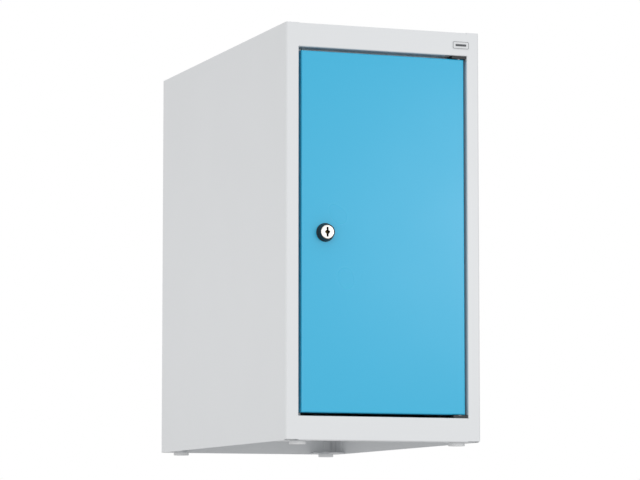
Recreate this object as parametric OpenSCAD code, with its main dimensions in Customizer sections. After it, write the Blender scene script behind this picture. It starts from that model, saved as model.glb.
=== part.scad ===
// Sheet-steel bedside cabinet: a folded and welded housing on four glides, with one inset door
// on hidden pivot pins and a cam lock. Millimetres.
// Origin: middle of the whole footprint, at floor level. +X right, +Y back, +Z up. The door faces -Y.

/* [Housing] */
// Outer width of the housing
body_w = 250; // [240:5:320]
// Outer depth of the housing
body_d = 500; // [300:10:600]
// Height of the housing above its feet
body_h = 500; // [420:4:700]
// Thickness of the folded sheet
sheet_t = 1; // [0.8:0.1:1.2]
// Outer radius of the front corner bends
front_bend_r = 3; // [2:0.5:3]
// Outer radius of the rear corner bends
rear_bend_r = 8; // [6:1:10]
// Width of the sides' inward flanges at the back
rear_flange_w = 18; // [16:1:25]

/* [Front opening] */
// Width of the stile on each side of the opening
stile_w = 16; // [15:1:25]
// Height of the rails above and below the opening
rail_h = 29; // [28:1:45]
// Depth of the reveal behind the front
reveal_d = 22; // [22:1:30]
// Width of the door stop lip on the lock side and at the top
stop_lip_w = 10; // [8:1:12]
// Width of the door stop lip on the hinge side
hinge_lip_w = 8; // [6:1:10]
// Height of the relief cut under each stile
stile_relief_h = 1.2; // [1:0.2:3]

/* [Door] */
// Gap between the door and the opening on the lock side, at the top and at the bottom
door_gap = 4; // [4:0.5:5]
// Gap between the door and the opening on the hinge side
hinge_gap = 3.2; // [3:0.2:4]
// How far the door's face lies behind the housing's front
door_recess = 2; // [1:0.5:3]
// Depth of the folded door pan
door_d = 18; // [17:0.5:18]
// Width of the pan's inward lips
door_lip_w = 12; // [10:1:14]
// Distance of the pin axis from the opening's right edge
pin_inset = 9; // [9:0.5:11]
// Distance of the pin axis behind the door's face
pin_setback = 5; // [5:0.5:6]
// Diameter of the hinge pins
pin_d = 7; // [6:0.5:7]

/* [Lock] */
// Distance of the lock's axis from the door's free edge
lock_inset = 30; // [28:1:40]
// How far the lock's collar stands out from the door's face
lock_out = 9; // [7:0.5:10]
// Outer diameter of the black collar
collar_d = 22.5; // [22:0.5:26]
// Diameter of the plug's round face
plug_face_d = 16.5; // [15:0.5:17]
// Reach of the cam from the lock's axis
cam_reach = 32; // [30:1:33]

/* [Feet and shelf] */
// Height of the feet under the housing
foot_h = 4; // [3:0.5:8]
// Diameter of the feet
foot_d = 20; // [16:1:24]
// Distance of the feet's axes from the housing's outer faces
foot_inset = 22.5; // [22:0.5:30]
// Height of the shelf's top above the floor panel
shelf_height = 205; // [150:5:240]

/* [Hidden] */
$fn = 64;
cut = 1;                 // how far a cutter runs past the face it cuts
body_gap = 0.3;          // least gap between parts that move past each other
fit_gap = 0.05;          // radial clearance of a pin in its bush

housing_color = [0.85, 0.86, 0.87];
door_color = [0.35, 0.74, 0.89];
zinc_color = [0.72, 0.73, 0.75];
nylon_color = [0.22, 0.24, 0.26];
black_color = [0.09, 0.08, 0.09];

// Where the housing stands: the lock's collar is the most forward point of the whole cabinet.
collar_proud = lock_out - door_recess;
y_front = -(body_d + collar_proud) / 2 + collar_proud;
y_back = y_front + body_d;
z_low = foot_h;
z_high = foot_h + body_h;
x_wall = body_w / 2;

// The opening in the front
x_open = x_wall - stile_w;
z_floor = z_low + rail_h;
z_lintel = z_high - rail_h;
small_bend_r = 1.5;      // outer radius of the narrow folds
panel_flange_h = 9;      // folded edges of the top and the floor
return_flange_w = 13;    // folded edge under the bottom rail
relief_d = 6;            // how far the stile's relief cut runs round the corner
flange_start = 30;       // side flanges of the top and floor start this far behind the front
flange_stop = 14;        // and stop this far before the back

// The door
door_w = 2 * x_open - door_gap - hinge_gap;
x_door = (door_gap - hinge_gap) / 2;    // middle of the door
door_h = z_lintel - z_floor - 2 * door_gap;
door_bend_r = 2;
door_mid_z = (z_floor + z_lintel) / 2;
y_door = y_front + door_recess;
x_pin = x_open - pin_inset;
y_pin = y_door + pin_setback;

// Hinge bushes, brackets and pins
bush_block = [19, 13.6];          // size of the bush's head across and front to back
bush_head_h = door_gap - 0.4;
bush_neck_d = 11;
bush_neck_h = 6;
bush_slot = [12, 9];              // assembly slot beside the upper bush
bracket_t = 2;
bracket_h = 20;
bracket_reach = 16;
bracket_w = 10.5;
pin_head_d = 10;
pin_head_h = 2;
pin_into_bush = 4.5;

// Buffers on the stop lip
buffer_h = 17.5;
buffer_pad = 0.8;
buffer_inset = 6;                 // from the opening's upper and lower edges

// The lock, measured from the front of its collar towards the back
x_lock = x_door - door_w / 2 + lock_inset;
z_lock = door_mid_z - 2;
y_collar = y_door - lock_out;
face_t = 3;              // thickness of the plug's face
barrel_d = 18;
core_d = 13;
barrel_start = 3.5;
cam_start = collar_proud + reveal_d + sheet_t + 1;
barrel_end = cam_start - 2;
cam_t = 2.5;
cam_w = 15;
tail_w = 8;
nut_across = 24;
nut_h = 4;
keyway = [2.2, 11.5, 22];
wafer = [4.5, 0.7, 12];
wafer_count = 5;
wafer_pitch = 2.8;

// Feet, gussets and shelf
gusset_size = 36;
gusset_nose = 14;        // width left at the gusset's two tips
gusset_t = 2;
gusset_leg_h = 20;
gusset_leg_w = 28;
stem_d = 8;
barb_d = 9.4;
barb_h = 1.2;
shelf_edge_h = 15;
shelf_lip_w = 10;
runner_w = 12;

function unit(v) = v / norm(v);

// One right-angle bend of a sheet, seen on edge. The corner is where the middle lines cross.
module bend(corner, d_in, d_out, r) {
    centre = corner + (r - sheet_t / 2) * (d_out - d_in);
    intersection() {
        translate(centre) difference() {
            circle(r = r);
            circle(r = r - sheet_t);
        }
        polygon([centre, centre + r * d_in, centre + r * (d_in - d_out), centre - r * d_out]);
    }
}

// A sheet seen on edge, along the middle of its thickness, with an outer radius at each corner.
module bent_strip(points, radii) {
    last = len(points) - 1;
    for (i = [0 : last - 1]) {
        d = unit(points[i + 1] - points[i]);
        side = [-d[1], d[0]] * sheet_t / 2;
        a = i == 0 ? points[i] : points[i] + (radii[i - 1] - sheet_t / 2) * d;
        b = i + 1 == last ? points[i + 1] : points[i + 1] - (radii[i] - sheet_t / 2) * d;
        polygon([a - side, b - side, b + side, a + side]);
    }
    for (i = [1 : last - 1])
        bend(points[i], unit(points[i] - points[i - 1]), unit(points[i + 1] - points[i]), radii[i - 1]);
}

// Stands a plan drawing up between two heights.
module between(z0, z1) {
    translate([0, 0, z0]) linear_extrude(z1 - z0) children();
}

// Sweeps a side-view drawing, drawn as [y, z], between two x positions.
module across(x0, x1) {
    translate([x0, 0, 0]) rotate([90, 0, 90]) linear_extrude(x1 - x0) children();
}

// Sweeps a front-view drawing, drawn as [x, z], between two y positions.
module front_to_back(y0, y1) {
    translate([0, y1, 0]) rotate([90, 0, 0]) linear_extrude(y1 - y0) children();
}

module block(low, high) {
    translate(low) cube(high - low);
}

module flip_x(on) {
    mirror([on ? 1 : 0, 0, 0]) children();
}

// A side wall with its front stile, reveal, stop lip and rear flange, folded from one sheet.
module side_panel(lip_w) {
    half = sheet_t / 2;
    flange_end = [-x_wall + rear_flange_w, y_back - half];
    rear_corner = [-x_wall + half, y_back - half];
    front_corner = [-x_wall + half, y_front + half];
    color(housing_color) difference() {
        union() {
            between(z_floor, z_lintel) bent_strip([
                flange_end, rear_corner, front_corner,
                [-x_open - half, y_front + half],
                [-x_open - half, y_front + reveal_d + half],
                [-x_open + lip_w, y_front + reveal_d + half]
            ], [rear_bend_r, front_bend_r, small_bend_r, small_bend_r]);
            for (zone = [[z_low, z_floor], [z_lintel, z_high]])
                between(zone[0], zone[1]) bent_strip([
                    flange_end, rear_corner, front_corner, [-x_open, y_front + half]
                ], [rear_bend_r, front_bend_r]);
        }
        block([-x_wall - cut, y_front - cut, z_low - cut],
              [-x_open + cut, y_front + relief_d, z_low + stile_relief_h]);
    }
}

module side_panel_left() { side_panel(stop_lip_w); }
module side_panel_right() { flip_x(true) side_panel(hinge_lip_w); }

// Edges of the top or the floor beside the front part: folded side flanges and rounded rear corners.
// plate_z is the middle of the plate and flange_z the flanges' free edge.
module panel_edges(plate_z, flange_z) {
    half = sheet_t / 2;
    x_edge = x_wall - sheet_t;
    x_rear = x_wall - rear_bend_r;
    for (side = [false, true]) flip_x(side) {
        front_to_back(y_front + flange_start, y_back - flange_stop) bent_strip([
            [-x_edge + half, flange_z], [-x_edge + half, plate_z], [-x_open + cut, plate_z]
        ], [small_bend_r]);
        block([-x_wall + front_bend_r, y_front + sheet_t, plate_z - half],
              [-x_open + cut, y_front + flange_start, plate_z + half]);
        block([-x_edge, y_front + front_bend_r, plate_z - half],
              [-x_open + cut, y_front + flange_start, plate_z + half]);
        block([-x_edge, y_back - flange_stop, plate_z - half],
              [-x_open + cut, y_back - rear_bend_r, plate_z + half]);
        block([-x_rear, y_back - rear_bend_r - cut, plate_z - half],
              [-x_open + cut, y_back - 2 * sheet_t, plate_z + half]);
        intersection() {
            translate([-x_rear, y_back - rear_bend_r, plate_z - half])
                cylinder(r = rear_bend_r - sheet_t - 0.1, h = sheet_t);
            block([-x_edge, y_back - rear_bend_r - cut, plate_z - sheet_t],
                  [-x_rear + cut, y_back - 2 * sheet_t, plate_z + sheet_t]);
        }
    }
}

// Top with the upper rail, reveal and stop lip folded from the same sheet.
module top_panel() {
    half = sheet_t / 2;
    y_rear = y_back - 2 * sheet_t - half;
    y_lip = y_front + reveal_d;
    color(housing_color) difference() {
        union() {
            across(-x_open, x_open) bent_strip([
                [y_rear, z_high - panel_flange_h], [y_rear, z_high - half],
                [y_front + half, z_high - half], [y_front + half, z_lintel + half],
                [y_lip + half, z_lintel + half], [y_lip + half, z_lintel - stop_lip_w]
            ], [small_bend_r, front_bend_r, small_bend_r, small_bend_r]);
            panel_edges(z_high - half, z_high - panel_flange_h);
        }
        // The lip stops short of the sides' own lips, and of the buffer hooked over the left one.
        block([-x_open - cut, y_lip - cut, z_lintel - stop_lip_w - cut],
              [-x_open + stop_lip_w + 2 * buffer_pad, y_lip + sheet_t + cut, z_lintel]);
        block([x_open - hinge_lip_w, y_lip - cut, z_lintel - stop_lip_w - cut],
              [x_open + cut, y_lip + sheet_t + cut, z_lintel]);
        // Hole for the upper bush and the slot that it is passed in through.
        translate([x_pin, y_pin, z_lintel - cut])
            cylinder(d = bush_neck_d + 2 * fit_gap, h = sheet_t + 2 * cut);
        block([x_pin - 6 - bush_slot[0], y_pin - bush_slot[1] / 2, z_lintel - cut],
              [x_pin - 6, y_pin + bush_slot[1] / 2, z_lintel + sheet_t + cut]);
    }
}

// Floor with the lower rail and its return flange folded from the same sheet.
module floor_panel() {
    half = sheet_t / 2;
    y_rear = y_back - 2 * sheet_t - half;
    color(housing_color) difference() {
        union() {
            across(-x_open, x_open) bent_strip([
                [y_rear, z_floor - panel_flange_h], [y_rear, z_floor - half],
                [y_front + half, z_floor - half], [y_front + half, z_low + half],
                [y_front + return_flange_w, z_low + half]
            ], [small_bend_r, small_bend_r, small_bend_r]);
            panel_edges(z_floor - half, z_floor - panel_flange_h);
        }
        translate([x_pin, y_pin, z_floor - sheet_t - cut])
            cylinder(d = bush_neck_d + 2 * fit_gap, h = sheet_t + 2 * cut);
    }
}

// Flat back, welded to the inner faces of the sides' rear flanges.
module back_panel() {
    x_edge = x_wall - rear_bend_r;
    color(housing_color)
        block([-x_edge, y_back - 2 * sheet_t, z_low], [x_edge, y_back - sheet_t, z_high]);
}

// Plate welded into a left bottom corner and pierced for a foot, or its mirror image on the right.
module gusset(on_right, is_front) {
    x_outer = -x_wall + sheet_t;
    y0 = is_front ? y_front + return_flange_w : y_back - 2 * sheet_t;
    into = is_front ? 1 : -1;
    corner_cut = is_front ? 0.5 : rear_bend_r - 2;
    y_foot = is_front ? y_front + foot_inset : y_back - foot_inset;
    color(housing_color) flip_x(on_right) difference() {
        union() {
            between(z_low, z_low + gusset_t) polygon([
                [x_outer, y0 + into * corner_cut],
                [x_outer, y0 + into * gusset_size],
                [x_outer + gusset_nose, y0 + into * gusset_size],
                [x_outer + gusset_size, y0 + into * gusset_nose],
                [x_outer + gusset_size, y0],
                [x_outer + corner_cut, y0]
            ]);
            gusset_side_leg(x_outer, y0 + into * rear_bend_r, y0 + into * gusset_leg_w);
            if (!is_front)
                block([x_outer + rear_bend_r, y0 - gusset_t, z_low],
                      [x_outer + gusset_size / 2, y0, z_low + gusset_leg_h]);
        }
        translate([-x_wall + foot_inset, y_foot, z_low - cut])
            cylinder(d = stem_d + 0.2, h = gusset_t + 2 * cut);
    }
}

// Leg of a gusset turned up against the side wall, between two y positions in either order.
module gusset_side_leg(x, y_a, y_b) {
    block([x, min(y_a, y_b), z_low], [x + gusset_t, max(y_a, y_b), z_low + gusset_leg_h]);
}

// Moulded glide: a round pad with a stem that snaps through the gusset.
module foot(on_right, is_front) {
    edge = 0.8;
    y_foot = is_front ? y_front + foot_inset : y_back - foot_inset;
    z_barb = foot_h + gusset_t;
    color(housing_color) flip_x(on_right) translate([-x_wall + foot_inset, y_foot, 0]) difference() {
        rotate_extrude() polygon([
            [0, 0], [foot_d / 2 - edge, 0], [foot_d / 2, edge], [foot_d / 2, foot_h],
            [stem_d / 2, foot_h], [stem_d / 2, z_barb], [barb_d / 2, z_barb],
            [stem_d / 2 - edge, z_barb + barb_h], [0, z_barb + barb_h]
        ]);
        block([-barb_d, -0.75, foot_h + gusset_t / 2], [barb_d, 0.75, z_barb + barb_h + cut]);
    }
}

// A pan folded from one sheet, seen with its face down: the walls rise and their lips turn inwards.
module folded_pan(w, l, d, r, lip) {
    module pan_block(w, l, d, r) {
        intersection() {
            rotate([90, 0, 0]) linear_extrude(l, center = true) pan_profile(w, d, r);
            rotate([90, 0, 90]) linear_extrude(w, center = true) pan_profile(l, d, r);
        }
    }
    difference() {
        pan_block(w, l, d, r);
        translate([0, 0, sheet_t])
            pan_block(w - 2 * sheet_t, l - 2 * sheet_t, d - 2 * sheet_t, r - sheet_t);
        translate([0, 0, d]) cube([w - 2 * lip, l - 2 * lip, 2 * sheet_t + cut], center = true);
    }
}

// Section of a pan: a rectangle standing on zero with its two lower corners rounded.
module pan_profile(w, d, r) {
    difference() {
        translate([-w / 2, 0]) square([w, d]);
        for (side = [0, 1]) mirror([side, 0]) translate([w / 2 - r, r]) difference() {
            translate([0, -r - cut]) square([r + cut, r + cut]);
            circle(r = r);
        }
    }
}

// The door's skin with its walls and lips.
module door_panel() {
    color(door_color) difference() {
        translate([x_door, y_door, door_mid_z]) rotate([-90, 0, 0])
            folded_pan(door_w, door_h, door_d, door_bend_r, door_lip_w);
        translate([x_pin, y_pin, z_floor]) cylinder(d = pin_d + 2 * fit_gap, h = z_lintel - z_floor);
        along_lock(-cut) cylinder(d = barrel_d + 2 * fit_gap, h = barrel_end + cut);
    }
}

// Hat-section stiffener welded down the middle of the door's inner face.
module door_stiffener() {
    half = sheet_t / 2;
    y_skin = y_door + sheet_t + half;
    y_crown = y_door + door_d - 3;
    end_gap = 24;
    color(door_color) translate([x_door, 0, 0])
        between(z_floor + door_gap + end_gap, z_lintel - door_gap - end_gap) bent_strip([
            [-42, y_skin], [-28, y_skin], [-28, y_crown], [28, y_crown], [28, y_skin], [42, y_skin]
        ], [small_bend_r, small_bend_r, small_bend_r, small_bend_r]);
}

// Heights of the door's hinge ends: direction 1 is the lower end and -1 the upper end.
function door_end_z(up) = up > 0 ? z_floor + door_gap : z_lintel - door_gap;

// Turns a part that is drawn for the lower hinge, with its start at zero, into its own place.
module at_hinge(up) {
    translate([x_pin, y_pin, door_end_z(up)]) mirror([0, 0, up > 0 ? 0 : 1]) children();
}

// Channel welded into the door's corner to carry a pin in two legs.
module hinge_bracket(up) {
    x0 = -bracket_reach + pin_inset - hinge_gap - sheet_t;
    x1 = pin_inset - hinge_gap - sheet_t;
    y0 = door_bend_r - pin_setback + 0.2;
    color(zinc_color) at_hinge(up) difference() {
        block([x0, y0, sheet_t], [x1, y0 + bracket_w, sheet_t + bracket_h]);
        block([x0 + bracket_t, y0 - cut, sheet_t + bracket_t],
              [x1 + cut, y0 + bracket_w + cut, sheet_t + bracket_h - bracket_t]);
        cylinder(d = pin_d + 2 * fit_gap, h = 2 * bracket_h);
    }
}

// Turned pin with a head on the bracket's inner leg and its free end in the bush.
module hinge_pin(up) {
    top = sheet_t + bracket_h;
    color(zinc_color) at_hinge(up) {
        translate([0, 0, -door_gap - pin_into_bush])
            cylinder(d = pin_d, h = top + door_gap + pin_into_bush);
        translate([0, 0, top]) cylinder(d = min(pin_head_d, 2 * pin_setback - 2 * sheet_t), h = pin_head_h);
    }
}

// Moulded bush: a square head in the door gap and a round neck through the housing.
module hinge_bush(up) {
    color(nylon_color) at_hinge(up) difference() {
        union() {
            translate([-bush_block[0] + pin_inset - 0.2, -bush_block[1] / 2 + 0.8, -door_gap])
                cube([bush_block[0], bush_block[1], bush_head_h]);
            translate([0, 0, -door_gap - bush_neck_h])
                cylinder(d = bush_neck_d, h = bush_neck_h + bush_head_h / 2);
        }
        translate([0, 0, -door_gap - bush_neck_h - cut])
            cylinder(d = pin_d + 2 * fit_gap, h = bush_neck_h + door_gap + 2 * cut);
    }
}

// Clip-on buffer that hooks over the stop lip: a thin pad on the reveal and a thick one on the lip.
module door_buffer(z0) {
    lip_pad = reveal_d - door_recess - door_d - body_gap;
    y_lip = y_front + reveal_d;
    x_corner = -x_open + small_bend_r - sheet_t;
    x_hook = -x_open + stop_lip_w;
    color(housing_color) union() {
        block([-x_open, y_front + 3, z0], [-x_open + buffer_pad, y_lip - 0.6, z0 + buffer_h]);
        block([x_corner, y_lip - lip_pad, z0], [x_hook + buffer_pad, y_lip, z0 + buffer_h]);
        block([x_hook, y_lip - buffer_pad, z0], [x_hook + buffer_pad, y_lip + sheet_t, z0 + buffer_h]);
    }
}

// Small plain badge plate with rounded corners and a raised bar.
module badge() {
    size = [22, 10];
    thick = 0.6;
    bar = 0.25;
    color([0.8, 0.82, 0.84]) translate([x_wall - 24, y_front, z_high - 16]) rotate([90, 0, 0]) {
        linear_extrude(thick) rounded_plate(size, 2.2);
        linear_extrude(thick + bar) rounded_plate([14, 2.6], 1.2);
    }
}

module rounded_plate(size, r) {
    square([size[0] - 2 * r, size[1]], center = true);
    square([size[0], size[1] - 2 * r], center = true);
    for (sx = [-1, 1], sy = [-1, 1])
        translate([sx * (size[0] / 2 - r), sy * (size[1] / 2 - r)]) circle(r = r);
}

// Loose shelf with folded edges, lying on its two runners.
module shelf() {
    w = body_w - 2 * sheet_t - 4;
    y0 = y_front + reveal_d + 14;
    y1 = y_back - 2 * sheet_t - 2;
    color(housing_color) translate([0, (y0 + y1) / 2, z_floor + shelf_height]) mirror([0, 0, 1])
        folded_pan(w, y1 - y0, shelf_edge_h, small_bend_r, shelf_lip_w);
}

// Angle welded to the inside of a side wall under the shelf.
module shelf_runner(on_right) {
    half = sheet_t / 2;
    z_top = z_floor + shelf_height - shelf_edge_h;
    x_face = -x_wall + sheet_t;
    color(housing_color) flip_x(on_right)
        front_to_back(y_front + reveal_d + 20, y_back - 20) bent_strip([
            [x_face + half, z_top - runner_w], [x_face + half, z_top - half],
            [x_face + runner_w, z_top - half]
        ], [small_bend_r]);
}

// Puts a turned part, drawn along +Z from the collar's front, on the lock's axis.
module along_lock(start) {
    translate([x_lock, y_collar + start, z_lock]) rotate([-90, 0, 0]) children();
}

// Black moulded collar round the plug's face.
module lock_collar() {
    r_base = collar_d / 2;
    r_rim = plug_face_d / 2 + 0.9;
    r_bore = plug_face_d / 2 + body_gap;
    color(black_color) along_lock(0) rotate_extrude() polygon([
        [r_bore, 0], [r_rim - 0.3, 0], [r_rim, 0.3], [r_rim + 0.5, 2.2], [r_base - 0.6, lock_out - 2],
        [r_base, lock_out - 1.4], [r_base, lock_out],
        [barrel_d / 2, lock_out], [barrel_d / 2, barrel_start], [r_bore, barrel_start]
    ]);
}

// Lock body: a round barrel through the door with a bore for the plug.
module lock_body() {
    color(zinc_color) along_lock(barrel_start) difference() {
        cylinder(d = barrel_d, h = barrel_end - barrel_start);
        translate([0, 0, -cut]) cylinder(d = core_d + 2 * fit_gap, h = barrel_end);
    }
}

// Thin hexagon nut that clamps the lock body to the door's skin.
module lock_nut() {
    color(zinc_color) along_lock(lock_out + sheet_t) difference() {
        cylinder(d = nut_across / cos(30), h = nut_h, $fn = 6);
        translate([0, 0, -cut]) cylinder(d = barrel_d, h = nut_h + 2 * cut);
    }
}

// Positions of the wafers along the plug, from the collar's front.
function wafer_start(i) = barrel_start + 4 + i * wafer_pitch;

// Plug: round face with the keyway, core with the wafer slots, square tail for the cam.
module lock_plug() {
    face_back = face_t + 0.2;
    tail_end = cam_start + cam_t;
    color([0.86, 0.86, 0.87]) along_lock(0) difference() {
        union() {
            translate([0, 0, 0.2]) cylinder(d = plug_face_d, h = face_t);
            cylinder(d = core_d, h = cam_start);
            translate([-tail_w / 2, -tail_w / 2, 0]) cube([tail_w, tail_w, tail_end]);
        }
        translate([0, 0, -cut]) cylinder(d = plug_face_d + cut, h = cut + 0.2);
        translate([-keyway[0] / 2, -keyway[1] / 2, 0]) cube(keyway);
        cylinder(d = 5.5, h = 1.2);
        for (i = [0 : wafer_count - 1])
            translate([-wafer[0] / 2 - 0.1, -core_d, wafer_start(i) - 0.1])
                cube([wafer[0] + 0.2, 2 * core_d, wafer[1] + 0.2]);
        translate([0, 0, tail_end - 7]) cylinder(d = 5, h = 7 + cut);
    }
}

// Sprung wafers in the plug, shown drawn in as a key holds them.
module lock_wafers() {
    color([0.78, 0.66, 0.36]) along_lock(0) for (i = [0 : wafer_count - 1])
        translate([-wafer[0] / 2, -wafer[2] / 2, wafer_start(i)]) difference() {
            cube([wafer[0], wafer[2], wafer[1]]);
            translate([wafer[0] / 2 - keyway[0] / 2, 2, -cut])
                cube([keyway[0], wafer[2] - 4, wafer[1] + 2 * cut]);
        }
}

// Flat cam on the plug's tail. It hangs down while the lock is open.
module lock_cam() {
    color(zinc_color) along_lock(cam_start) difference() {
        union() {
            cylinder(d = cam_w, h = cam_t);
            translate([-cam_w / 2, 0, 0]) cube([cam_w, cam_reach - cam_w / 2, cam_t]);
            translate([0, cam_reach - cam_w / 2, 0]) cylinder(d = cam_w, h = cam_t);
        }
        translate([-tail_w / 2, -tail_w / 2, -cut]) cube([tail_w, tail_w, cam_t + 2 * cut]);
    }
}

// Hexagon screw with a washer that holds the cam.
module lock_cam_screw() {
    color(zinc_color) along_lock(cam_start + cam_t) {
        cylinder(d = 12, h = 1);
        translate([0, 0, 1]) cylinder(d = 8 / cos(30), h = 3.5, $fn = 6);
        translate([0, 0, -6]) cylinder(d = 4.9, h = 7);
    }
}

side_panel_left();
side_panel_right();
top_panel();
floor_panel();
back_panel();
gusset(false, true);  // gusset_front_left
gusset(true, true);  // gusset_front_right
gusset(false, false);  // gusset_back_left
gusset(true, false);  // gusset_back_right
foot(false, true);  // foot_front_left
foot(true, true);  // foot_front_right
foot(false, false);  // foot_back_left
foot(true, false);  // foot_back_right
shelf();
shelf_runner(false);  // shelf_runner_left
shelf_runner(true);  // shelf_runner_right
hinge_bush(-1);  // hinge_bush_top
hinge_bush(1);  // hinge_bush_bottom
door_buffer(z_lintel - buffer_inset - buffer_h);  // door_buffer_upper
door_buffer(z_floor + buffer_inset);  // door_buffer_lower
badge();
door_panel();
door_stiffener();
hinge_bracket(-1);  // hinge_bracket_top
hinge_bracket(1);  // hinge_bracket_bottom
hinge_pin(-1);  // hinge_pin_top
hinge_pin(1);  // hinge_pin_bottom
lock_collar();
lock_body();
lock_nut();
lock_plug();
lock_wafers();
lock_cam();
lock_cam_screw();
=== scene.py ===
import math

import bmesh
import bpy
import numpy as np
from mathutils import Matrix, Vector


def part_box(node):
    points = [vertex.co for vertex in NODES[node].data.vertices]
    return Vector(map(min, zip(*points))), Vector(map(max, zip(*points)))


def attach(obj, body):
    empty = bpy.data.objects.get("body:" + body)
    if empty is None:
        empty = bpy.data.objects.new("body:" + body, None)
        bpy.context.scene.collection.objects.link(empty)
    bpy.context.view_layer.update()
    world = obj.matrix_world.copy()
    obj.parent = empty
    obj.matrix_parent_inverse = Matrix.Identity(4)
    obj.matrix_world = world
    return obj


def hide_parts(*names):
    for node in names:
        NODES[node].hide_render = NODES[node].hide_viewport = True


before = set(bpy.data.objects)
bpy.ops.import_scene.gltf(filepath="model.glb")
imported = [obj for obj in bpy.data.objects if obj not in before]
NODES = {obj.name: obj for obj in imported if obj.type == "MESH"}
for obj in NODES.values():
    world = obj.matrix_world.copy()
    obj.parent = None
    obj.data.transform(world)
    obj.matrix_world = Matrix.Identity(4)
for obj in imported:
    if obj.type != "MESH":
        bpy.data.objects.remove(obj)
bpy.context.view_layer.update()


# ---------------------------------------------------------------------------------------------
# Housing: mild steel sheet, 1 mm thick, punched, folded and spot-welded, then powder coated in
# light grey as one body. The coat leaves a fine orange peel and rounds every cut edge a little.
# ---------------------------------------------------------------------------------------------
MM = 0.001
HOUSING_GREY = "#DDDFE1"
SHARP = math.radians(35)         # bends and edges over this angle count as edges
SHEET_EDGE = 0.15 * MM           # rounding that the coat leaves on a cut edge
PEEL_SIZE = 2.2 * MM             # orange peel, drawn a little coarser than it is so that it shows
PEEL_DEPTH = 0.012 * MM
DIMPLE_SIZE = 160 * MM           # slow waves that rolling and welding leave in a flat sheet
DIMPLE_DEPTH = 0.12 * MM
PATCH_SIZE = 90 * MM             # the coat's gloss and shade drift over patches of this size
PATCH_GLOSS = 0.04
PATCH_SHADE = 0.985


def linear(hex_colour):
    """Linear RGBA of an sRGB hex colour: each channel c becomes ((c + 0.055) / 1.055) ** 2.4, or
    c / 12.92 in the darkest part."""
    c = np.array([int(hex_colour[i:i + 2], 16) / 255 for i in (1, 3, 5)])
    low, high = c / 12.92, ((c + 0.055) / 1.055) ** 2.4
    return (*np.where(c <= 0.04045, low, high).tolist(), 1.0)


def shaded(hex_colour, share):
    """A hex colour as linear RGBA with its light cut to a share: each channel times the share."""
    return (*(share * c for c in linear(hex_colour)[:3]), 1.0)


def add(tree, kind, inputs=(), **settings):
    """One shader node with its settings; inputs maps a socket's name or number to a value or to
    another node's output."""
    made = tree.nodes.new("ShaderNode" + kind)
    for key, value in settings.items():
        setattr(made, key, value)
    for key, value in dict(inputs).items():
        if isinstance(value, bpy.types.NodeSocket):
            tree.links.new(value, made.inputs[key])
        else:
            made.inputs[key].default_value = value
    return made


def new_material(name):
    """An empty material, its node tree and its principled shader."""
    material = bpy.data.materials.new(name)
    material.use_nodes = True
    return material, material.node_tree, material.node_tree.nodes["Principled BSDF"]


def powder_coat(name, colour, roughness):
    """Polyester powder coat on steel: satin, slightly uneven gloss, orange peel over slow waves."""
    material, tree, shader = new_material(name)
    place = add(tree, "TexCoord").outputs["Object"]
    patch = add(tree, "TexNoise", {"Vector": place, "Scale": 1 / PATCH_SIZE, "Detail": 2.0})
    tone = add(tree, "MixRGB", {"Fac": patch.outputs["Fac"], "Color1": linear(colour),
                                "Color2": shaded(colour, PATCH_SHADE)})
    gloss = add(tree, "MapRange", {"Value": patch.outputs["Fac"], "To Min": roughness - PATCH_GLOSS,
                                   "To Max": roughness + PATCH_GLOSS})
    waves = add(tree, "TexNoise", {"Vector": place, "Scale": 1 / DIMPLE_SIZE, "Detail": 0.0})
    peel = add(tree, "TexNoise", {"Vector": place, "Scale": 1 / PEEL_SIZE, "Detail": 1.5})
    slow = add(tree, "Bump", {"Height": waves.outputs["Fac"], "Distance": DIMPLE_DEPTH})
    fine = add(tree, "Bump", {"Height": peel.outputs["Fac"], "Distance": PEEL_DEPTH,
                              "Normal": slow.outputs["Normal"]})
    tree.links.new(tone.outputs["Color"], shader.inputs["Base Color"])
    tree.links.new(gloss.outputs["Result"], shader.inputs["Roughness"])
    tree.links.new(fine.outputs["Normal"], shader.inputs["Normal"])
    shader.inputs["IOR"].default_value = 1.5
    return material


def finish_node(name, material, edge=SHEET_EDGE):
    """Gives a CAD node its material, and rounds its sharp edges with live modifiers: loose
    triangles are welded, flat ones joined, edges over 35 degrees bevelled, normals weighted."""
    node = NODES[name]
    node.data.materials.clear()
    node.data.materials.append(material)
    node.data.polygons.foreach_set("use_smooth", [True] * len(node.data.polygons))
    node.modifiers.new("weld", "WELD").merge_threshold = 1e-6
    flat = node.modifiers.new("flat", "DECIMATE")
    flat.decimate_type, flat.angle_limit = "DISSOLVE", math.radians(0.5)
    rounding = node.modifiers.new("rounding", "BEVEL")
    rounding.width, rounding.segments = edge, 2
    rounding.limit_method, rounding.angle_limit = "ANGLE", SHARP
    node.modifiers.new("normals", "WEIGHTED_NORMAL").keep_sharp = True


housing_coat = powder_coat("light_grey_powder_coat", HOUSING_GREY, 0.40)
for name in ("side_panel_left", "side_panel_right", "top_panel", "floor_panel", "back_panel"):
    finish_node(name, housing_coat)
for corner in ("front_left", "front_right", "back_left", "back_right"):
    finish_node(f"gusset_{corner}", housing_coat)


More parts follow.
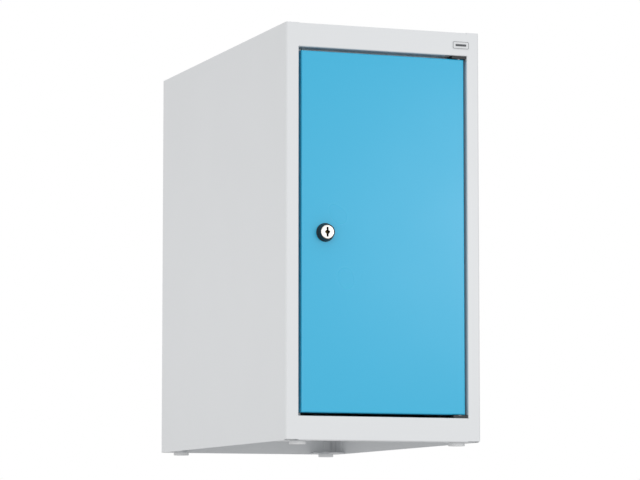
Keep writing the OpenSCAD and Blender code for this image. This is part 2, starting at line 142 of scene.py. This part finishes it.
# ---------------------------------------------------------------------------------------------
# Feet: four glides moulded in light grey polyethylene. Each is a round pad with a rounded rim
# and a short barbed stem that snaps through the gusset.
# ---------------------------------------------------------------------------------------------
FOOT_GREY = "#E9EAEB"
FOOT_RIM = 0.6 * MM
FOOT_HOLLOW = 0.35 * MM          # the pad's underside is moulded slightly hollow
FOOT_RING = (0.62, 0.72)         # the hollow's sloping edge, as shares of the pad's radius
STEM_R = 4 * MM
BARB_R = 4.7 * MM
BARB_LIP = 0.4 * MM
STEM_TAPER = 0.8 * MM
GUSSET_SHEET = 2 * MM            # the gusset that the stem passes through
GRAIN_DEPTH = 0.01 * MM          # of the mould's spark-eroded grain
GRAIN_GLOSS = 0.05
STREAK_SIZE = 12 * MM            # plastics shade a little from one stretch of flow to the next
STREAK_SHADE = 0.94
AROUND = 96                      # steps round a turned shape


def rounded(outline, radii, steps=6):
    """An outline of points whose corners are arcs: each corner is cut back by the same length on
    both sides, and a circle that touches both sides fills the cut. Ends with radius 0 stay."""
    points, out = [np.array(p, float) for p in outline], []
    for i, (p, r) in enumerate(zip(points, radii)):
        if r == 0:
            out.append(p)
            continue
        a, b = points[i - 1] - p, points[(i + 1) % len(points)] - p
        a, b = a / np.linalg.norm(a), b / np.linalg.norm(b)
        half = math.acos(np.clip(a @ b, -1, 1)) / 2
        centre = p + (a + b) / np.linalg.norm(a + b) * r / math.sin(half)
        start = math.atan2(*(p + a * r / math.tan(half) - centre)[::-1])
        stop = math.atan2(*(p + b * r / math.tan(half) - centre)[::-1])
        sweep = (stop - start + math.pi) % (2 * math.pi) - math.pi
        angles = start + sweep * np.linspace(0, 1, steps + 1)
        out.extend(centre + r * np.stack([np.cos(angles), np.sin(angles)], 1))
    return np.array(out)


def turned(profile, centre, axis, closed=False, angles=None):
    """Surface of revolution: point (r, h) of the profile at angle t lies at
    centre + r cos t * u + r sin t * v + h * axis. A closed profile makes a ring."""
    axis = np.array(axis, float)
    u = np.array([1.0, 0, 0]) if abs(axis[0]) < 0.5 else np.array([0, 1.0, 0])
    v = np.cross(axis, u)
    t = np.linspace(0, 2 * np.pi, AROUND, endpoint=False) if angles is None else angles
    ring = np.cos(t)[:, None] * u + np.sin(t)[:, None] * v
    profile = np.broadcast_to(profile, (len(t), *np.shape(profile)[-2:]))
    r, h = profile[..., 0], profile[..., 1]
    grid = np.array(centre, float) + r[..., None] * ring[:, None] + h[..., None] * axis
    return grid, True, closed


def piece(name, grids, material, body, slot, *replaced):
    """One object from grids of points. Each grid is (array[i, j, xyz], wraps in i, wraps in j);
    neighbours on a grid make quads, points that coincide, as at a pole, are merged, and edges
    sharper than 35 degrees stay sharp."""
    quads, offset = [], 0
    for grid, wrap_i, wrap_j in grids:
        rows, columns = grid.shape[:2]
        i, j = np.meshgrid(np.arange(rows - (not wrap_i)), np.arange(columns - (not wrap_j)),
                           indexing="ij")
        right, up = (i + 1) % rows, (j + 1) % columns
        corners = [i * columns + j, right * columns + j, right * columns + up, i * columns + up]
        quads.append(np.stack(corners, -1).reshape(-1, 4) + offset)
        offset += rows * columns
    data = bpy.data.meshes.new(name)
    data.from_pydata(np.concatenate([grid.reshape(-1, 3) for grid, _, _ in grids]).tolist(), [],
                     np.concatenate(quads).tolist())
    mesh = bmesh.new()
    mesh.from_mesh(data)
    bmesh.ops.remove_doubles(mesh, verts=mesh.verts, dist=1e-7)
    bmesh.ops.recalc_face_normals(mesh, faces=mesh.faces)
    mesh.to_mesh(data)
    mesh.free()
    data.polygons.foreach_set("use_smooth", [True] * len(data.polygons))
    data.set_sharp_from_angle(angle=SHARP)
    data.materials.append(material)
    made = bpy.data.objects.new(name, data)
    bpy.context.scene.collection.objects.link(made)
    made.modifiers.new("normals", "WEIGHTED_NORMAL").keep_sharp = True
    if replaced:
        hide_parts(*replaced)
    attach(made, body)
    return made


def moulded_plastic(name, colour, roughness, grain):
    """Injection-moulded plastic: an even colour with the fine spark-eroded grain of its mould."""
    material, tree, shader = new_material(name)
    place = add(tree, "TexCoord").outputs["Object"]
    texture = add(tree, "TexNoise", {"Vector": place, "Scale": 1 / grain, "Detail": 3.0})
    streak = add(tree, "TexNoise", {"Vector": place, "Scale": 1 / STREAK_SIZE, "Detail": 1.0})
    tone = add(tree, "MixRGB", {"Fac": streak.outputs["Fac"], "Color1": linear(colour),
                                "Color2": shaded(colour, STREAK_SHADE)})
    bump = add(tree, "Bump", {"Height": texture.outputs["Fac"], "Distance": GRAIN_DEPTH})
    gloss = add(tree, "MapRange", {"Value": texture.outputs["Fac"], "To Min": roughness - GRAIN_GLOSS,
                                   "To Max": roughness + GRAIN_GLOSS})
    tree.links.new(tone.outputs["Color"], shader.inputs["Base Color"])
    tree.links.new(gloss.outputs["Result"], shader.inputs["Roughness"])
    tree.links.new(bump.outputs["Normal"], shader.inputs["Normal"])
    shader.inputs["IOR"].default_value = 1.5
    return material


polyethylene = moulded_plastic("light_grey_polyethylene", FOOT_GREY, 0.5, 0.4 * MM)
for corner in ("front_left", "front_right", "back_left", "back_right"):
    low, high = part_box(f"foot_{corner}")
    foot_r = (high.x - low.x) / 2
    gusset_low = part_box(f"gusset_{corner}")[0]
    pad_top, stem_top = gusset_low.z, high.z
    barb_z = pad_top + GUSSET_SHEET
    outline = [(0, low.z + FOOT_HOLLOW), (foot_r * FOOT_RING[0], low.z + FOOT_HOLLOW),
               (foot_r * FOOT_RING[1], low.z), (foot_r, low.z), (foot_r, pad_top),
               (STEM_R, pad_top), (STEM_R, barb_z), (BARB_R, barb_z + BARB_LIP),
               (STEM_R - STEM_TAPER, stem_top), (0, stem_top)]
    profile = rounded(outline, [0, 0.6 * MM, 0.6 * MM, FOOT_RIM, 0.5 * MM, 0.2 * MM, 0.1 * MM,
                                0.3 * MM, 0.3 * MM, 0])
    middle = ((low.x + high.x) / 2, (low.y + high.y) / 2, 0)
    piece(f"glide_{corner}", [turned(profile, middle, (0, 0, 1))], polyethylene, "housing",
          "grey_plastic", f"foot_{corner}")


# ---------------------------------------------------------------------------------------------
# Shelf: a tray of the same sheet with its edges folded down, coated with the housing's grey. It
# lies loose on two angles that are spot-welded to the side walls.
# ---------------------------------------------------------------------------------------------
for name in ("shelf", "shelf_runner_left", "shelf_runner_right"):
    finish_node(name, housing_coat)


# ---------------------------------------------------------------------------------------------
# Bushes and buffers: dark nylon bushes carry the hinge pins, and two pale clip-on buffers keep
# the door off the stop lip. All are small injection mouldings.
# ---------------------------------------------------------------------------------------------
dark_nylon = moulded_plastic("dark_grey_nylon", "#25282B", 0.48, 0.3 * MM)
for name in ("hinge_bush_top", "hinge_bush_bottom"):
    finish_node(name, dark_nylon, edge=0.4 * MM)
for name in ("door_buffer_upper", "door_buffer_lower"):
    finish_node(name, polyethylene, edge=0.25 * MM)


# ---------------------------------------------------------------------------------------------
# Badge: a small plate pressed from thin pale plastic and glued on the upper rail. A dark line
# runs round it inside the rim, and one plain dark bar is printed in its middle.
# ---------------------------------------------------------------------------------------------
BADGE_CORNER = 2.2 * MM
BADGE_THICK = 0.6 * MM
BADGE_EDGE = [(0, 0), (0, 0.40 * MM), (0.08 * MM, 0.52 * MM), (0.2 * MM, BADGE_THICK),
              (2 * MM, BADGE_THICK)]        # pressed edge, as steps inwards and outwards
BADGE_RIM = 0.7 * MM             # pale rim outside the line
LINE_W = 0.45 * MM
BAR_HALF = (7 * MM, 1.3 * MM)
BAR_CORNER = 0.6 * MM
PRINT = 0.05 * MM                # thickness of the print
SUNK = 0.05 * MM                 # prints start this far under the plate's face


def plate(centre, half, corner, steps):
    """A flat-lying rounded rectangle facing -Y as rings from its edge to its middle. A step
    (inset, out) shrinks the outline by the inset and lifts it out by so much; the last ring is
    drawn in to the middle point."""
    t = np.linspace(0, 2 * np.pi, 96, endpoint=False) + np.pi / 96
    way = np.stack([np.cos(t), np.sin(t)], -1)
    rings = []
    for inset, out in steps:
        core = np.sign(way) * (np.array(half) - corner)
        ring = core + way * max(corner - inset, 1e-5)
        ring = np.clip(ring, -(np.array(half) - inset), np.array(half) - inset)
        rings.append(np.stack([ring[:, 0], np.full(len(t), -out), ring[:, 1]], -1))
    rings.append(np.stack([0 * t, rings[-1][:, 1], 0 * t], -1))
    return np.stack(rings, 1) + np.array(centre), True, False


low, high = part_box("badge")
badge_at = ((low.x + high.x) / 2, high.y, (low.z + high.z) / 2)
badge_half = ((high.x - low.x) / 2, (high.z - low.z) / 2)
badge_plate = moulded_plastic("pale_badge_plate", "#D9DBDD", 0.35, 0.5 * MM)
badge_ink = moulded_plastic("dark_grey_print", "#4A4C50", 0.45, 0.3 * MM)
piece("badge_plate", [plate(badge_at, badge_half, BADGE_CORNER, BADGE_EDGE)], badge_plate,
      "housing", "badge_plate", "badge")
line_section = [(inset, BADGE_THICK + out) for inset, out in
                [(BADGE_RIM, -SUNK), (BADGE_RIM, PRINT), (BADGE_RIM + LINE_W, PRINT),
                 (BADGE_RIM + LINE_W, -SUNK)]]
line_rings = plate(badge_at, badge_half, BADGE_CORNER, line_section)[0][:, :len(line_section)]
bar = plate(badge_at, BAR_HALF, BAR_CORNER,
            [(0, BADGE_THICK - SUNK), (0, BADGE_THICK + 4 * PRINT), (PRINT, BADGE_THICK + 5 * PRINT)])
piece("badge_print", [(line_rings, True, True), bar], badge_ink, "housing", "badge_plate", "badge")


# ---------------------------------------------------------------------------------------------
# Door: one folded sheet-steel pan, stiffened by a hat section that is spot-welded down its inner
# face. Both are powder coated together in light blue, a little glossier than the housing.
# ---------------------------------------------------------------------------------------------
DOOR_BLUE = "#33B1DA"
door_coat = powder_coat("light_blue_powder_coat", DOOR_BLUE, 0.29)
for name in ("door_panel", "door_stiffener"):
    finish_node(name, door_coat)


# ---------------------------------------------------------------------------------------------
# Hinge pins and brackets: pins turned from steel bar, with a snap-ring groove and a head, in
# brackets pressed from sheet and welded to the door. Bright zinc plate, bluish and cloudy.
# ---------------------------------------------------------------------------------------------
PIN_R = 3.5 * MM
PIN_HEAD_H = 2 * MM
PIN_LEAD = (0.8 * MM, 1.2 * MM)  # lead-in at the pin's free end, across and along
GROOVE = (5.2 * MM, 6.6 * MM)    # from the free end, with sloping sides
GROOVE_DEPTH = 0.3 * MM
CLOUD_SIZE = 5 * MM              # patches that the plating bath leaves
SCRATCH_DEPTH = 0.004 * MM
SCRATCH_GLOSS = (0.08, 0.12)     # how far the scratches smooth and roughen the plating


def plated_metal(name, colour, dull, roughness, scratch):
    """Plated metal: colour drifting between bright and dull patches, with fine random scratches."""
    material, tree, shader = new_material(name)
    place = add(tree, "TexCoord").outputs["Object"]
    cloud = add(tree, "TexNoise", {"Vector": place, "Scale": 1 / CLOUD_SIZE, "Detail": 4.0})
    tone = add(tree, "MixRGB", {"Fac": cloud.outputs["Fac"], "Color1": linear(colour),
                                "Color2": linear(dull)})
    marks = add(tree, "TexNoise", {"Vector": place, "Scale": 1 / scratch, "Detail": 6.0,
                                   "Distortion": 1.5})
    gloss = add(tree, "MapRange", {"Value": marks.outputs["Fac"], "To Min": roughness - SCRATCH_GLOSS[0],
                                   "To Max": roughness + SCRATCH_GLOSS[1]})
    bump = add(tree, "Bump", {"Height": marks.outputs["Fac"], "Distance": SCRATCH_DEPTH})
    tree.links.new(tone.outputs["Color"], shader.inputs["Base Color"])
    tree.links.new(gloss.outputs["Result"], shader.inputs["Roughness"])
    tree.links.new(bump.outputs["Normal"], shader.inputs["Normal"])
    shader.inputs["Metallic"].default_value = 1.0
    return material


zinc = plated_metal("bright_zinc_plate", "#C8CCD2", "#A9ADB2", 0.3, 0.6 * MM)
for end in ("top", "bottom"):
    finish_node(f"hinge_bracket_{end}", zinc)
    low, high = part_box(f"hinge_pin_{end}")
    head_r, long = (high.x - low.x) / 2, high.z - low.z
    upward = 1 if end == "bottom" else -1
    foot = (low.x + head_r, low.y + head_r, low.z if end == "bottom" else high.z)
    outline = [(0, 0), (PIN_R - PIN_LEAD[0], 0), (PIN_R, PIN_LEAD[1]), (PIN_R, GROOVE[0]),
               (PIN_R - GROOVE_DEPTH, GROOVE[0] + GROOVE_DEPTH),
               (PIN_R - GROOVE_DEPTH, GROOVE[1] - GROOVE_DEPTH), (PIN_R, GROOVE[1]),
               (PIN_R, long - PIN_HEAD_H), (head_r, long - PIN_HEAD_H), (head_r, long), (0, long)]
    radii = [0, 0.3 * MM, 0.5 * MM, 0.1 * MM, 0.05 * MM, 0.05 * MM, 0.1 * MM, 0, 0.2 * MM,
             0.5 * MM, 0]
    piece(f"turned_pin_{end}", [turned(rounded(outline, radii), foot, (0, 0, upward))], zinc, "door",
          "zinc_plate", f"hinge_pin_{end}")


# ---------------------------------------------------------------------------------------------
# Lock collar: a ring moulded in black plastic, pushed over the front of the lock's barrel, which
# holds it against the door. Its front is coned towards a narrow rim round the plug's face.
# ---------------------------------------------------------------------------------------------
PLUG_GAP = 0.3 * MM              # between the plug's face and the collar
COLLAR_RIM = 0.6 * MM

low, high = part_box("lock_collar")
lock_centre = ((low.x + high.x) / 2, low.y, (low.z + high.z) / 2)
collar_r, collar_h = (high.x - low.x) / 2, high.y - low.y
low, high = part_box("lock_plug")
plug_r = (high.x - low.x) / 2
bore_r = plug_r + PLUG_GAP
rim_r = bore_r + COLLAR_RIM
low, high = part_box("lock_body")
barrel_r = (high.x - low.x) / 2
barrel_from, barrel_to = low.y - lock_centre[1], high.y - lock_centre[1]
black_plastic = moulded_plastic("black_satin_plastic", "#131114", 0.42, 0.3 * MM)
collar = rounded(
    [(bore_r, 0), (rim_r, 0), (rim_r + 0.6 * MM, 2.2 * MM), (collar_r - 0.7 * MM, collar_h - 2 * MM),
     (collar_r, collar_h - 1.6 * MM), (collar_r, collar_h), (barrel_r, collar_h),
     (barrel_r, barrel_from), (bore_r, barrel_from)],
    [0.2 * MM, 0.35 * MM, 1.5 * MM, 0.6 * MM, 0.4 * MM, 0.15 * MM, 0, 0, 0])
piece("collar", [turned(collar, lock_centre, (0, 1, 0), closed=True)], black_plastic, "door",
      "black_plastic", "lock_collar")


# ---------------------------------------------------------------------------------------------
# Lock barrel: a zinc die casting, nickel plated satin, with a thread along its outside. It goes
# through the hole in the door's skin, and its nut clamps it there.
# ---------------------------------------------------------------------------------------------
THREAD_PITCH = 1.0 * MM
THREAD_DEPTH = 0.5 * MM
THREAD_START = 4 * MM            # from the barrel's front end
BARREL_BORE_R = 6.6 * MM
BARREL_CHAMFER = 0.6 * MM

nickel = plated_metal("satin_nickel_plate", "#E6E4E0", "#D2D0CC", 0.28, 0.5 * MM)
t = np.linspace(0, 2 * np.pi, AROUND, endpoint=False)[:, None]
h = np.arange(barrel_from + THREAD_START, barrel_to - BARREL_CHAMFER, THREAD_PITCH / 8)[None, :]
# Depth of the thread at height h and angle t: a triangle wave of h / pitch - t / full turn, cut
# flat at crest and root, that fades in over the first pitch.
wave = np.abs(2 * np.mod(h / THREAD_PITCH - t / (2 * np.pi), 1) - 1)
start = np.clip((h - h[0, 0]) / THREAD_PITCH, 0, 1)
barrel_skin = barrel_r - THREAD_DEPTH * start * np.clip(1.3 * wave - 0.15, 0, 1)
front_end = [(BARREL_BORE_R, barrel_from), (barrel_r - 0.3 * MM, barrel_from),
             (barrel_r, barrel_from + 0.3 * MM)]
back_end = [(barrel_r - 0.7 * MM, barrel_to), (BARREL_BORE_R + BARREL_CHAMFER, barrel_to),
            (BARREL_BORE_R, barrel_to - BARREL_CHAMFER)]
barrel = np.concatenate([
    np.broadcast_to(np.array(front_end), (AROUND, 3, 2)),
    np.stack([barrel_skin, np.broadcast_to(h, barrel_skin.shape)], -1),
    np.broadcast_to(np.array(back_end), (AROUND, 3, 2))], 1)
piece("threaded_barrel", [turned(barrel, lock_centre, (0, 1, 0), closed=True)], nickel, "door",
      "lock_nickel", "lock_body")


# ---------------------------------------------------------------------------------------------
# Lock nut, cam and cam screw: a thin hexagon nut on the barrel, a cam pressed from strip on the
# plug's square tail, and a hexagon screw with a washer that holds it. Zinc-plated steel.
# ---------------------------------------------------------------------------------------------
CHAMFER_FLAT = 0.965             # diameter of the flat inside a chamfer, as a share of the width
CHAMFER_RUN = 0.115              # height over which the rings of a chamfer spread, as such a share
CHAMFER_SLOPE = 1.732            # tan 60 degrees
CHAMFER_STEPS = np.array([0, 0.06, 0.12, 0.18, 0.25, 0.32, 0.40, 0.5])
SCREW_ACROSS = 8 * MM
SCREW_HEAD_H = 3.5 * MM
WASHER_H = 1 * MM


def hexagon(across, start, end, inner, chamfered_start=True):
    """Rings of a hexagon nut or head round an axis, corners at angle 0: the wall's radius at
    angle t is across / 2 / cos(t mod 60 - 30), and a 30 degree chamfer limits it to a cone near
    the ends. With inner 0 the rings run from pole to pole, otherwise from hole edge to hole edge."""
    t = np.linspace(0, 2 * np.pi, 144, endpoint=False)
    wall = across / 2 / np.cos(np.mod(t, np.pi / 3) - np.pi / 6)
    away = CHAMFER_STEPS * CHAMFER_RUN * across
    cone = [np.minimum(wall, CHAMFER_FLAT * across / 2 + a * CHAMFER_SLOPE) for a in away]
    first = [(c if chamfered_start else wall, start + a) for c, a in zip(cone, away)]
    last = [(c, end - a) for c, a in zip(cone[::-1], away[::-1])]
    rings = [(np.full_like(t, inner), start), *first, *last, (np.full_like(t, inner), end)]
    return np.stack([np.stack([r, np.full_like(t, h)], -1) for r, h in rings], 1), t


finish_node("lock_cam", zinc, edge=0.3 * MM)
low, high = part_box("lock_nut")
nut, angles = hexagon(high.z - low.z, low.y - lock_centre[1], high.y - lock_centre[1], barrel_r)
piece("barrel_nut", [turned(nut, lock_centre, (0, 1, 0), closed=True, angles=angles)], zinc, "door",
      "zinc_plate", "lock_nut")
low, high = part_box("lock_cam_screw")
screw_end, washer_r = high.y - lock_centre[1], (high.x - low.x) / 2
washer_end = screw_end - SCREW_HEAD_H
washer_start = washer_end - WASHER_H
head, angles = hexagon(SCREW_ACROSS, washer_end, screw_end, 0, chamfered_start=False)
washer = rounded([(0, washer_start), (washer_r, washer_start), (washer_r, washer_end),
                  (0, washer_end)], [0, 0.15 * MM, 0.3 * MM, 0])
piece("cam_screw", [turned(washer, lock_centre, (0, 1, 0)),
                    turned(head, lock_centre, (0, 1, 0), angles=angles)],
      zinc, "lock", "zinc_plate", "lock_cam_screw")


# ---------------------------------------------------------------------------------------------
# Plug and wafers: a nickel-plated casting that turns in the barrel, with a round face and a
# keyway cut deep into its core. The sprung wafers in it are stamped from brass.
# ---------------------------------------------------------------------------------------------
KEYWAY_HALF = (1.15 * MM, 5.8 * MM)     # half the slot's width and height
KEYWAY_EYE = (3.3 * MM, 3.9 * MM)       # the same of the diamond in its middle
KEYWAY_DEPTH = 20 * MM
KEYWAY_CHAMFER = 0.15 * MM
FACE_SUNK = 0.2 * MM                    # the face lies this far behind the collar's front
FACE_THICK = 3 * MM
FACE_BEVEL = 0.5 * MM
CORE_R = 6.5 * MM

brass = plated_metal("stamped_brass", "#A98B4E", "#7C6538", 0.35, 0.5 * MM)
finish_node("lock_wafers", brass, edge=0.05 * MM)
core_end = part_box("lock_cam")[0].y - lock_centre[1]
# Radius of the keyway at angle t: the larger of the slot, min(w / |cos t|, l / |sin t|), and the
# diamond, 1 / (|cos t| / a + |sin t| / b). The angles include those of the outline's corners.
waist = KEYWAY_EYE[1] * (1 - KEYWAY_HALF[0] / KEYWAY_EYE[0])
corners = [math.atan2(z, x) for x, z in (KEYWAY_HALF, (KEYWAY_HALF[0], waist), (1, 0), (0, 1))]
special = [s * a + b for a in corners for s in (1, -1) for b in (0, math.pi)]
angles = np.concatenate([np.linspace(0, 2 * np.pi, 240, endpoint=False), np.mod(special, 2 * np.pi)])
angles = np.unique(np.round(angles, 6))
across, along = np.abs(np.cos(angles)) + 1e-9, np.abs(np.sin(angles)) + 1e-9
slot_r = np.minimum(KEYWAY_HALF[0] / across, KEYWAY_HALF[1] / along)
key_r = np.maximum(slot_r, 1 / (across / KEYWAY_EYE[0] + along / KEYWAY_EYE[1]))
mouth_r = key_r + KEYWAY_CHAMFER
rings = [(0, KEYWAY_DEPTH), (key_r, KEYWAY_DEPTH), (key_r, FACE_SUNK + 6 * MM),
         (key_r, FACE_SUNK + 0.2 * MM), (mouth_r, FACE_SUNK)]
rings += [(mouth_r + (plug_r - 1.2 * MM - key_r) * f, FACE_SUNK) for f in (0.3, 0.6, 0.9)]
rings += [(plug_r - FACE_BEVEL * (1 - math.sin(b)), FACE_SUNK + FACE_BEVEL * (1 - math.cos(b)))
          for b in np.linspace(0, np.pi / 2, 6)]
rings += [(plug_r, FACE_SUNK + FACE_THICK), (CORE_R, FACE_SUNK + FACE_THICK), (CORE_R, core_end),
          (0, core_end)]
plug = np.stack([np.stack(np.broadcast_arrays(r, h, key_r)[:2], -1) for r, h in rings], 1)
plug = piece("plug", [turned(plug, lock_centre, (0, 1, 0), angles=angles)], nickel, "lock",
             "lock_nickel", "lock_plug")
# The keyway's walls are painted darker than the face: painted shade down the deep, narrow slot.
keyway_painted_shade = plated_metal("painted_keyway_shade", "#4A4A4C", "#2C2C2E", 0.6, 0.5 * MM)
plug.data.materials.append(keyway_painted_shade)
# Faces inside the keyway take the painted shade material.
centres = np.empty(3 * len(plug.data.polygons))
plug.data.polygons.foreach_get("center", centres)
centres = centres.reshape(-1, 3) - np.array(lock_centre)
inside = (np.hypot(centres[:, 0], centres[:, 2]) < KEYWAY_HALF[1] * 1.05) \
    & (centres[:, 1] > FACE_SUNK + 0.3 * MM) & (centres[:, 1] < KEYWAY_DEPTH + 0.5 * MM)
plug.data.polygons.foreach_set("material_index", inside.astype(np.int32))


# ---------------------------------------------------------------------------------------------
# Spot welds: shallow round electrode marks with a faint raised ring, under the coat, where the
# runners, the back, the gussets and the door's stiffener are welded to the sheet behind them.
# ---------------------------------------------------------------------------------------------
WELD_MARK = [(0, -0.05 * MM), (3.0 * MM, -0.05 * MM), (3.0 * MM, 0), (2.7 * MM, 0.09 * MM),
             (2.2 * MM, 0.12 * MM), (1.6 * MM, 0.03 * MM), (0, 0.02 * MM)]
SHEET = 1 * MM
BACK_WELD_X = 108 * MM           # from the middle of the back
GUSSET_WELD = (18 * MM, 14 * MM)  # from the gusset's end, and up from its plate


def weld_marks(places, axis):
    """One turned mark per place, standing out along the axis."""
    return [turned(np.array(WELD_MARK), place, axis) for place in places]


marks = []
for side, name in ((-1, "left"), (1, "right")):
    low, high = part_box(f"shelf_runner_{name}")
    face = low.x + SHEET if side < 0 else high.x - SHEET
    along = np.linspace(low.y + 20 * MM, high.y - 20 * MM, 5)
    marks += weld_marks([(face, y, low.z + 5 * MM) for y in along], (-side, 0, 0))
    low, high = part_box("back_panel")
    up = np.linspace(low.z + 45 * MM, high.z - 25 * MM, 7)
    marks += weld_marks([(side * BACK_WELD_X, low.y, z) for z in up], (0, -1, 0))
    for end in ("front", "back"):
        low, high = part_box(f"gusset_{end}_{name}")
        face = low.x + GUSSET_SHEET if side < 0 else high.x - GUSSET_SHEET
        y = low.y + GUSSET_WELD[0] if end == "front" else high.y - GUSSET_WELD[0]
        marks += weld_marks([(face, y, low.z + GUSSET_WELD[1])], (-side, 0, 0))
piece("housing_weld_marks", marks, housing_coat, "housing", "housing_paint")
low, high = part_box("door_stiffener")
up = np.linspace(low.z + 20 * MM, high.z - 20 * MM, 6)
marks = weld_marks([(x, low.y + SHEET, z) for x in (low.x + 7 * MM, high.x - 7 * MM) for z in up],
                   (0, 1, 0))
piece("door_weld_marks", marks, door_coat, "door", "door_paint")


# ---------------------------------------------------------------------------------------------
# Studio: a white sweep that is a little brighter above and on the left, three soft lights, and a
# pale floor that is clear from below.
# ---------------------------------------------------------------------------------------------
SWEEP_WAY = (-0.2, 0, 1)         # the sweep's light grows with height, and a fifth of that leftwards
SWEEP_EDGE = 0.25                # how far along that way the light goes on changing, either side
SWEEP_LIGHT = (0.60, 0.90)
FLOOR_REACH = 40.0


def softbox(name, place, target, width, height, power):
    """A rectangular area light at a place, turned to face a target, its width level."""
    data = bpy.data.lights.new(name, "AREA")
    data.shape, data.size, data.size_y, data.energy = "RECTANGLE", width, height, power
    lamp = bpy.data.objects.new(name, data)
    lamp.location = place
    lamp.rotation_mode = "QUATERNION"
    lamp.rotation_quaternion = (Vector(target) - Vector(place)).to_track_quat("-Z", "Y")
    lamp.visible_camera = False
    bpy.context.scene.collection.objects.link(lamp)
    return lamp


lamps = [
    softbox("fill_softbox", (-0.3, -3.1, 0.3), (0, 0, 0.25), 1.2, 1.2, 15),
    softbox("door_softbox", (0.80, -1.60, 0.43), (0.08, -0.25, 0.27), 0.5, 0.4, 2.4),
    softbox("side_softbox", (-0.68, 0.0, 0.18), (-0.125, 0, 0.18), 1.2, 0.2, 0.5),
]

world = bpy.data.worlds.new("white_sweep")
bpy.context.scene.world = world
world.use_nodes = True
sky = world.node_tree
sky.nodes.clear()
seen = add(sky, "LightPath").outputs["Is Camera Ray"]
way = add(sky, "VectorMath", {0: add(sky, "TexCoord").outputs["Generated"], 1: SWEEP_WAY},
          operation="DOT_PRODUCT")
level = add(sky, "MapRange", {"Value": way.outputs["Value"], "From Min": -SWEEP_EDGE,
                              "From Max": SWEEP_EDGE, "To Min": SWEEP_LIGHT[0],
                              "To Max": SWEEP_LIGHT[1]})
ambient = add(sky, "Background", {"Color": linear("#FFFFFF"), "Strength": level.outputs["Result"]})
backdrop = add(sky, "Background", {"Color": linear("#FFFFFF"), "Strength": 1.0})
both = add(sky, "MixShader", {0: seen, 1: ambient.outputs[0], 2: backdrop.outputs[0]})
add(sky, "OutputWorld", {"Surface": both.outputs[0]})

floor_data = bpy.data.meshes.new("studio_floor")
floor_data.from_pydata([(x * FLOOR_REACH, y * FLOOR_REACH, 0)
                        for x, y in ((-1, -1), (1, -1), (1, 1), (-1, 1))], [], [(0, 1, 2, 3)])
studio_floor = bpy.data.objects.new("studio_floor", floor_data)
bpy.context.scene.collection.objects.link(studio_floor)
pale, tree, shader = new_material("pale_studio_floor")
shader.inputs["Base Color"].default_value = linear("#EDEDED")
shader.inputs["Roughness"].default_value = 0.7
under = add(tree, "NewGeometry").outputs["Backfacing"]
clear = add(tree, "BsdfTransparent")
mixed = add(tree, "MixShader", {0: under, 1: shader.outputs[0], 2: clear.outputs[0]})
tree.links.new(mixed.outputs[0], tree.nodes["Material Output"].inputs["Surface"])
floor_data.materials.append(pale)
studio_floor.visible_diffuse = False
studio_floor.visible_glossy = False
studio_floor.visible_shadow = False

# The low softboxes would leave bright bands on the floor, so only the sweep lights it.
unlit = bpy.data.collections.new("lit_by_the_sweep_only")
unlit.objects.link(studio_floor)
unlit.collection_objects[0].light_linking.link_state = "EXCLUDE"
for lamp in lamps:
    lamp.light_linking.receiver_collection = unlit

# The camera stands to the left, low, and tilts up.
CAMERA_AT = (-1.3225, -3.6058, -0.1261)
CAMERA_TURN, CAMERA_TILT = math.radians(20.265), math.radians(5.877)
camera_data = bpy.data.cameras.new("camera")
camera_data.lens, camera_data.sensor_width = 169.83, 36.0
camera_data.clip_end = 100
camera = bpy.data.objects.new("camera", camera_data)
camera.location = CAMERA_AT
camera.rotation_euler = (math.pi / 2 + CAMERA_TILT, 0, -CAMERA_TURN)
bpy.context.scene.collection.objects.link(camera)
bpy.context.scene.camera = camera
bpy.context.scene.view_settings.view_transform = "Standard"
